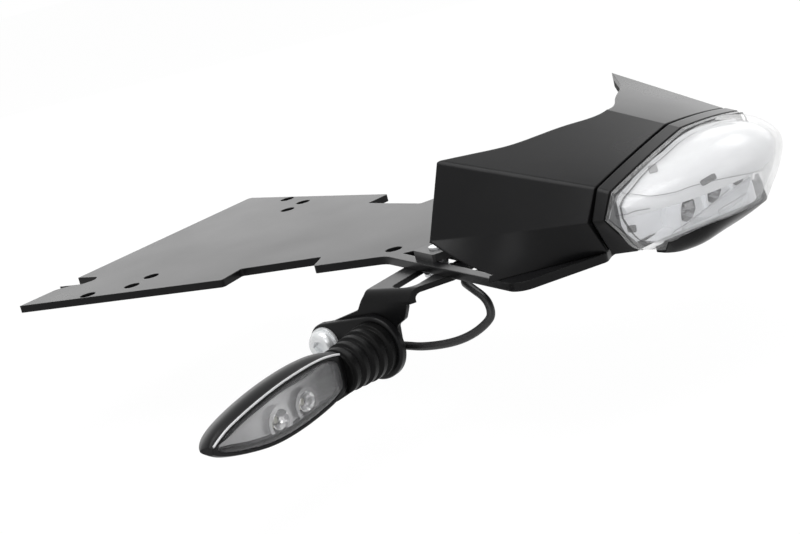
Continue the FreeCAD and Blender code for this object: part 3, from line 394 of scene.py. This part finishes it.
# white wire finish that paints the highlight on the indicator lens's rim
RIM_HIGHLIGHT_PAINT = white_plastic("painted_rim_highlight", (0.82, 0.82, 0.83), (0.9, 0.9, 0.91))
PAD = matt_grey("grey_pad", 0.13, 0.20)
LINE = matt_grey("grey_line", 0.30, 0.36)
BOARD = circuit_board()
SOURCE = light_source()
WINDOW = dark_window()
CABLE = cable_skin()

LOOKS = {
    "mounting_plate": COAT, "light_box_shell": COAT, "indicator_bracket": COAT,
    "tail_light_housing": MOULDING, "indicator_housing": MOULDING, "indicator_base": MOULDING,
    "tail_light_seal": RUBBER, "indicator_stalk": RUBBER, "cable_grommet": RUBBER,
    "tail_light_lens": LENS, "indicator_lens": SMOKE,
    "number_plate_window": WINDOW, "number_plate_light_guide": BAR,
    "tail_light_reflector": WHITE, "indicator_reflector": SILVER, "bracket_slot_nut": STEEL,
}


def look_of(name):
    """The finish of a CAD piece: zinc on bolts, screws, nuts and washers, which aren't listed by name."""
    if name.endswith("_board"):
        return BOARD
    if "_led_" in name:
        return SOURCE
    return LOOKS.get(name, ZINC)


for name, piece in nodes.items():
    piece.data.materials.clear()
    piece.data.materials.append(look_of(name))


# round wires: the cable, the fine lines and the painted highlight along the indicator's rim
def round_wire(name, kind, points, radius, look, roundness, steps=12):
    """A round wire along points in metres, its radius in millimetres, riding on the body."""
    curve = bpy.data.curves.new(name, "CURVE")
    curve.dimensions = "3D"
    run = curve.splines.new(kind)
    run.points.add(len(points) - 1)
    for point, at in zip(run.points, points):
        point.co = (*at, 1.0)
    if kind == "NURBS":
        run.order_u = 3
        run.use_endpoint_u = True
    curve.bevel_depth = radius * MM
    curve.bevel_resolution = roundness
    curve.resolution_u = steps
    curve.use_fill_caps = True
    wire = linked(name, curve)
    wire.data.materials.append(look)
    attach(wire, "root")
    return wire


# cable, from the indicator's base up through the grommet into the lamp's box
CABLE_ROUTE = [
    (147.2, -76.0, -24.4), (147.2, -73.0, -24.4), (147.2, -68.8, -24.4), (148.7, -66.3, -24.8),
    (153.4, -64.6, -25.6), (161.4, -64.0, -26.6), (172.7, -62.0, -26.1), (180.9, -60.0, -23.8),
    (187.4, -58.0, -19.6), (188.2, -57.0, -16.7), (186.5, -56.0, -12.3), (179.9, -54.0, -8.9),
    (174.0, -50.0, -7.6), (175.0, -42.0, -7.6), (184.0, -36.0, -8.2), (196.0, -32.4, -9.8),
    (203.0, -30.6, -9.4), (205.9, -30.1, -6.2), (206.5, -30.0, -1.5), (206.7, -30.0, 3.0),
    (208.6, -29.5, 7.4), (214.0, -29.0, 9.0), (217.0, -29.0, 9.0),
]
CABLE_RADIUS = 1.5

lead = round_wire("indicator_lead", "NURBS", [metres(at) for at in CABLE_ROUTE], CABLE_RADIUS, CABLE,
                  roundness=6, steps=16)
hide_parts("indicator_cable")


# pieces made point by point
def piece_from(bm, name, look):
    """A piece riding on the body, made from a bmesh in metres with its normals put outwards."""
    bmesh.ops.recalc_face_normals(bm, faces=bm.faces)
    mesh = bpy.data.meshes.new(name)
    bm.to_mesh(mesh)
    bm.free()
    piece = linked(name, mesh)
    piece.data.materials.append(look)
    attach(piece, "root")
    return piece


def skin(bm, rings):
    """The faces between each ring of points and the next."""
    for low_ring, high_ring in zip(rings[:-1], rings[1:]):
        for k in range(len(low_ring)):
            n = (k + 1) % len(low_ring)
            bm.faces.new((low_ring[k], low_ring[n], high_ring[n], high_ring[k]))


def turn_points(count):
    """Cosine and sine of evenly spaced turns round a ring."""
    for k in range(count):
        angle = 2 * math.pi * k / count
        yield math.cos(angle), math.sin(angle)


# grey pads on the tail lens's inner face; each layer is its lift and its share of the pad's size,
# and the face is looked for from a little inside it
PAD_POINTS = 24
PAD_SQUARENESS = 0.35
PAD_LAYERS = ((0.05, 1.0), (0.22, 1.0), (0.30, 0.88))
PAD_SEARCH = 0.3
PAD_FLATTEST_SIGHT = 0.3


def lens_pad(name, at, half_long, half_tall, along=None):
    """Thin rounded pad that follows the lens's inner face, made taller where the photo sees it aslant."""
    lens = nodes["tail_light_lens"]
    centre = Vector(at) * MM
    spot = lens.closest_point_on_mesh(centre)[1]
    inward = (centre - spot).normalized()
    sight = (spot - Vector(EYE)).normalized()
    if along:
        u = (Vector(along) - inward * Vector(along).dot(inward)).normalized()
    else:
        u = inward.cross(sight).normalized()
        half_tall /= max(abs(inward.dot(sight)), PAD_FLATTEST_SIGHT)
    v = inward.cross(u)
    bm = bmesh.new()
    rings = []
    for lift, size in PAD_LAYERS:
        ring = []
        for c, d in turn_points(PAD_POINTS):
            p = math.copysign(abs(c) ** PAD_SQUARENESS, c) * half_long * size
            q = math.copysign(abs(d) ** PAD_SQUARENESS, d) * half_tall * size
            near = spot + (u * p + v * q + inward * PAD_SEARCH) * MM
            on_face = lens.closest_point_on_mesh(near)[1]
            ring.append(bm.verts.new(on_face + inward * lift * MM))
        rings.append(ring)
    skin(bm, rings)
    bm.faces.new(list(reversed(rings[0])))
    bm.faces.new(rings[-1])
    piece_from(bm, name, PAD)


lens_pad("lamp_pad_upper", (244.6, -29.3, 20.9), half_long=1.5, half_tall=1.2)
lens_pad("lamp_pad_side", (242.6, -47.3, 6.2), half_long=1.5, half_tall=1.2)
lens_pad("lamp_pad_middle", (262.0, -26.9, 14.65), half_long=3.2, half_tall=1.0, along=(0.35, 0.9, 0.1))


# fine lines on the lens's inner face, where its facets and the light bar meet it
LINE_RADIUS = 0.13
LINE_STEPS = 8
LINE_LIFT = 0.2
LENS_LINES = {
    "lamp_line_shelf": [
        (241.0, -45.4, 18.3), (243.9, -44.8, 17.0), (249.3, -43.4, 15.4), (255.1, -38.0, 14.5),
        (259.0, -32.7, 14.6), (263.9, -25.1, 13.9), (267.6, -15.0, 12.1), (269.4, -0.2, 9.6),
    ],
    "lamp_line_side": [
        (240.6, -52.4, 11.9), (242.0, -50.5, 11.7), (245.8, -48.7, 12.1), (249.5, -45.4, 11.7),
    ],
    "lamp_line_bar_upper": [
        (249.0, -33.7, -1.0), (254.8, -30.9, 2.2), (261.2, -25.8, 6.2), (265.5, -18.9, 9.2),
    ],
    "lamp_line_bar_lower": [
        (251.4, -33.0, -1.3), (257.6, -26.0, 0.4), (263.0, -17.5, 2.6), (266.2, -9.5, 4.5),
    ],
}


def smooth_run(stations, steps):
    """Points along a smooth curve that passes through every station."""
    ends = [stations[0] * 2 - stations[1], *stations, stations[-1] * 2 - stations[-2]]
    points = []
    for before, start, end, after in zip(ends, ends[1:], ends[2:], ends[3:]):
        slope = end - before
        bend = 2 * before - 5 * start + 4 * end - after
        twist = 3 * start - before - 3 * end + after
        for k in range(steps):
            t = k / steps
            points.append(0.5 * (2 * start + slope * t + bend * t ** 2 + twist * t ** 3))
    points.append(stations[-1])
    return points


def on_lens(at, lift):
    """The nearest point of the tail lens, lifted off its face by some millimetres."""
    spot, normal = nodes["tail_light_lens"].closest_point_on_mesh(at)[1:3]
    return spot + normal * lift * MM


for name, stations in LENS_LINES.items():
    smooth = smooth_run([Vector(at) * MM for at in stations], LINE_STEPS)
    round_wire(name, "POLY", [on_lens(at, LINE_LIFT) for at in smooth], LINE_RADIUS, LINE, roundness=2)


# rings of mirror facets round the light sources
FACET_INPUTS = {
    "Count": "NodeSocketInt", "Facets": "NodeSocketInt",
    "Start": "NodeSocketVector", "Pitch": "NodeSocketVector", "Stretch": "NodeSocketVector",
    "Throat Radius": "NodeSocketFloat", "Rim Radius": "NodeSocketFloat", "Depth": "NodeSocketFloat",
    "Finish": "NodeSocketMaterial",
}
MIDDLE_SHARE = 0.46
MERGE = 1e-7


def facet_rings():
    """Node tree: on each point of a row, two rings of flat facets that open along X."""
    tree = bpy.data.node_groups.new("facet_rings", "GeometryNodeTree")
    ids = {}
    for name, kind in FACET_INPUTS.items():
        ids[name] = tree.interface.new_socket(name=name, in_out="INPUT", socket_type=kind).identifier
    tree.interface.new_socket(name="Geometry", in_out="OUTPUT", socket_type="NodeSocketGeometry")
    given = tree.nodes.new("NodeGroupInput").outputs

    def ring(low_radius, high_radius, long, start=0.0, turn=0.0):
        """One ring of facets, turned about its own axis and laid so that it opens along X."""
        cone = add(tree, "GeometryNodeMeshCone", Vertices=given["Facets"], Radius_Top=high_radius,
                   Radius_Bottom=low_radius, Depth=long)
        cone.fill_type = "NONE"
        spin = add(tree, "ShaderNodeCombineXYZ", Z=turn)
        place = add(tree, "ShaderNodeCombineXYZ", X=start)
        spun = add(tree, "GeometryNodeTransform", Geometry=cone.outputs["Mesh"], Rotation=spin.outputs[0])
        laid = add(tree, "GeometryNodeTransform", Geometry=spun.outputs["Geometry"],
                   Translation=place.outputs[0], Rotation=(0.0, math.pi / 2, 0.0))
        return laid.outputs["Geometry"]

    throat, rim = given["Throat Radius"], given["Rim Radius"]
    middle = reckon(tree, "MULTIPLY", reckon(tree, "ADD", throat, rim), MIDDLE_SHARE)
    half_depth = reckon(tree, "MULTIPLY", given["Depth"], 0.5)
    half_facet = reckon(tree, "DIVIDE", math.pi, given["Facets"])
    both = tree.nodes.new("GeometryNodeJoinGeometry")
    for one in (ring(throat, middle, half_depth), ring(middle, rim, half_depth, half_depth, half_facet)):
        feed(tree, both.inputs["Geometry"], one)
    row = add(tree, "GeometryNodeMeshLine", Count=given["Count"], Start_Location=given["Start"],
              Offset=given["Pitch"])
    each = add(tree, "GeometryNodeInstanceOnPoints", Points=row.outputs["Mesh"],
               Instance=both.outputs["Geometry"], Scale=given["Stretch"])
    real = add(tree, "GeometryNodeRealizeInstances", Geometry=each.outputs["Instances"])
    finish = add(tree, "GeometryNodeSetMaterial", Geometry=real.outputs["Geometry"],
                 Material=given["Finish"])
    add(tree, "NodeGroupOutput", Geometry=finish.outputs["Geometry"])
    return tree, ids


FACET_RINGS, FACET_IDS = facet_rings()


def facets(name, wall, **inputs):
    """A row of facet rings as one plain mesh piece with a wall, for the tree's inputs by name."""
    piece = linked(name, bpy.data.meshes.new(name))
    rings = piece.modifiers.new("rings", "NODES")
    rings.node_group = FACET_RINGS
    for key, value in inputs.items():
        rings[FACET_IDS[key.replace("_", " ")]] = value
    graph = bpy.context.evaluated_depsgraph_get()
    mesh = bpy.data.meshes.new_from_object(piece.evaluated_get(graph))
    piece.modifiers.remove(rings)
    piece.data = mesh
    bm = bmesh.new()
    bm.from_mesh(mesh)
    bmesh.ops.remove_doubles(bm, verts=bm.verts, dist=MERGE)
    bmesh.ops.recalc_face_normals(bm, faces=bm.faces)
    bm.to_mesh(mesh)
    bm.free()
    piece.modifiers.new("wall", "SOLIDIFY").thickness = wall * MM
    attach(piece, "root")


# The indicator's light sources, the outer one first, and the step to the inner one
LIGHT_Y, LIGHT_Z = -133.9, -23.7
LIGHT_STEP_Y, LIGHT_STEP_Z = 14.0, 0.3

facets(
    "lamp_facets", wall=0.2, Count=3, Facets=8,
    Start=metres((244.4, -21.0, 3.7)), Pitch=metres((0.0, 21.0, 0.0)), Stretch=(1.0, 1.3, 0.8),
    Throat_Radius=1.5 * MM, Rim_Radius=4.9 * MM, Depth=5.2 * MM, Finish=SHADED_MIRROR)
facets(
    "indicator_facets", wall=0.15, Count=2, Facets=14,
    Start=metres((151.2, LIGHT_Y, LIGHT_Z)), Pitch=metres((0.0, LIGHT_STEP_Y, LIGHT_STEP_Z)),
    Stretch=(1.0, 1.2, 1.0), Throat_Radius=1.4 * MM, Rim_Radius=3.2 * MM, Depth=2.2 * MM, Finish=MIRROR)


# clear round optic over each light source in the indicator; its profile is radius by height
OPTIC_POINTS = 40
OPTIC_X = 152.9
OPTIC_STRETCH_Y = 1.2
OPTIC_PROFILE = ((3.0, 0.0), (3.0, 0.5), (2.79, 0.8), (2.16, 1.11), (1.2, 1.26))
OPTIC_HEIGHT = 1.3
OPTIC_SMOOTH_SLOPE = 0.05


def round_optic(name, y, z):
    bm = bmesh.new()
    rings = []
    for radius, height in OPTIC_PROFILE:
        ring = []
        for c, d in turn_points(OPTIC_POINTS):
            at = Vector((OPTIC_X + height, y + OPTIC_STRETCH_Y * radius * c, z + radius * d))
            ring.append(bm.verts.new(at * MM))
        rings.append(ring)
    skin(bm, rings)
    bm.faces.new(rings[0])
    tip = bm.verts.new(Vector((OPTIC_X + OPTIC_HEIGHT, y, z)) * MM)
    for k in range(OPTIC_POINTS):
        bm.faces.new((rings[-1][k], rings[-1][(k + 1) % OPTIC_POINTS], tip))
    piece = piece_from(bm, name, OPTIC)
    for polygon in piece.data.polygons:
        on_dome = len(polygon.vertices) <= 4 and abs(polygon.normal.x) > OPTIC_SMOOTH_SLOPE
        polygon.use_smooth = on_dome


round_optic("indicator_optic_outer", LIGHT_Y, LIGHT_Z)
round_optic("indicator_optic_inner", LIGHT_Y + LIGHT_STEP_Y, LIGHT_Z + LIGHT_STEP_Z)


# painted highlight along the indicator's upper rim, a bright wire: y and z of the rim's top
RIM_X = 153.35
RIM_TOP = [
    (-99.0, -15.3), (-103.0, -14.0), (-112.0, -12.8), (-127.0, -12.8),
    (-140.0, -13.8), (-152.0, -15.4), (-160.0, -17.0), (-165.0, -19.2),
]
RIM_HIGHLIGHT_RADIUS = 0.38

round_wire("indicator_rim_highlight", "NURBS", [metres((RIM_X, y, z)) for y, z in RIM_TOP],
           RIM_HIGHLIGHT_RADIUS, RIM_HIGHLIGHT_PAINT, roundness=3)


# studio: the floor and the room show white, but throw little light on the object
FLOOR_REACH = 6.0
FLOOR_Z = -0.06
FLOOR_WHITE = 0.95
FLOOR_GLOW = 1.035
FLOOR_COLOUR = (0.82, 0.82, 0.82, 1)
ROOM_COLOUR = (0.9, 0.9, 0.9, 1)
ROOM_LIGHT = 0.12
WHITE_LIGHT = (1, 1, 1, 1)
STEEP_LOOK = 0.95


def background_rays(tree):
    """1 for rays that show the background: from the camera, off gloss or through clear pieces."""
    path = tree.nodes.new("ShaderNodeLightPath").outputs
    seen = path["Is Camera Ray"]
    for kind in ("Is Glossy Ray", "Is Transmission Ray"):
        seen = reckon(tree, "MAXIMUM", seen, path[kind])
    return seen


def pale_floor():
    pale = Finish("pale_floor")
    lit = pale.node("BsdfDiffuse", Color=FLOOR_COLOUR)
    white = pale.node("Emission", Color=WHITE_LIGHT, Strength=FLOOR_GLOW)
    share = pale.reckon("MULTIPLY", background_rays(pale.tree), FLOOR_WHITE)
    return pale.closed(shaders_mixed(pale.tree, share, lit, white))


def pale_room():
    room = bpy.data.worlds.new("studio")
    room.use_nodes = True
    tree = room.node_tree
    tree.nodes.clear()
    dim = add(tree, "ShaderNodeBackground", Color=ROOM_COLOUR, Strength=ROOM_LIGHT)
    white = add(tree, "ShaderNodeBackground", Color=WHITE_LIGHT)
    add(tree, "ShaderNodeOutputWorld", Surface=shaders_mixed(tree, background_rays(tree), dim, white))
    return room


def softbox(name, place, target, size, watts):
    """A soft area light of a size in metres, turned towards its target."""
    light = bpy.data.lights.new(name, "AREA")
    light.shape = "RECTANGLE"
    light.size, light.size_y = size
    light.energy = watts
    look = Vector(target) - Vector(place)
    steep = abs(look.normalized().z) >= STEEP_LOOK
    look_from(linked(name, light), place, look, (0, 1, 0) if steep else (0, 0, 1))


floor_mesh = bpy.data.meshes.new("floor")
corners = [(x * FLOOR_REACH, y * FLOOR_REACH, FLOOR_Z) for x, y in ((-1, -1), (1, -1), (1, 1), (-1, 1))]
floor_mesh.from_pydata(corners, [], [(0, 1, 2, 3)])
floor = linked("floor", floor_mesh)
floor.data.materials.append(pale_floor())
scene.world = pale_room()

softbox("top_light", place=(0.3, -0.2, 1.4), target=(0.12, 0.0, 0.0), size=(1.1, 1.1), watts=16.0)
softbox("back_light", place=(-0.85, 1.3, 0.25), target=(0.12, 0.0, 0.0), size=(3.2, 0.75), watts=6.0)
softbox("side_light", place=(1.2, 0.5, 0.35), target=(0.2, 0.0, 0.0), size=(0.8, 0.8), watts=1.6)
softbox("roof_light", place=(0.30, 1.20, 0.98), target=(0.2, 0.0, 0.03), size=(0.7, 0.5), watts=2.6)
softbox("front_light", place=(0.7, -1.3, 0.5), target=(0.15, -0.05, 0.0), size=(0.8, 0.5), watts=2.0)

scene.view_settings.view_transform = "Standard"
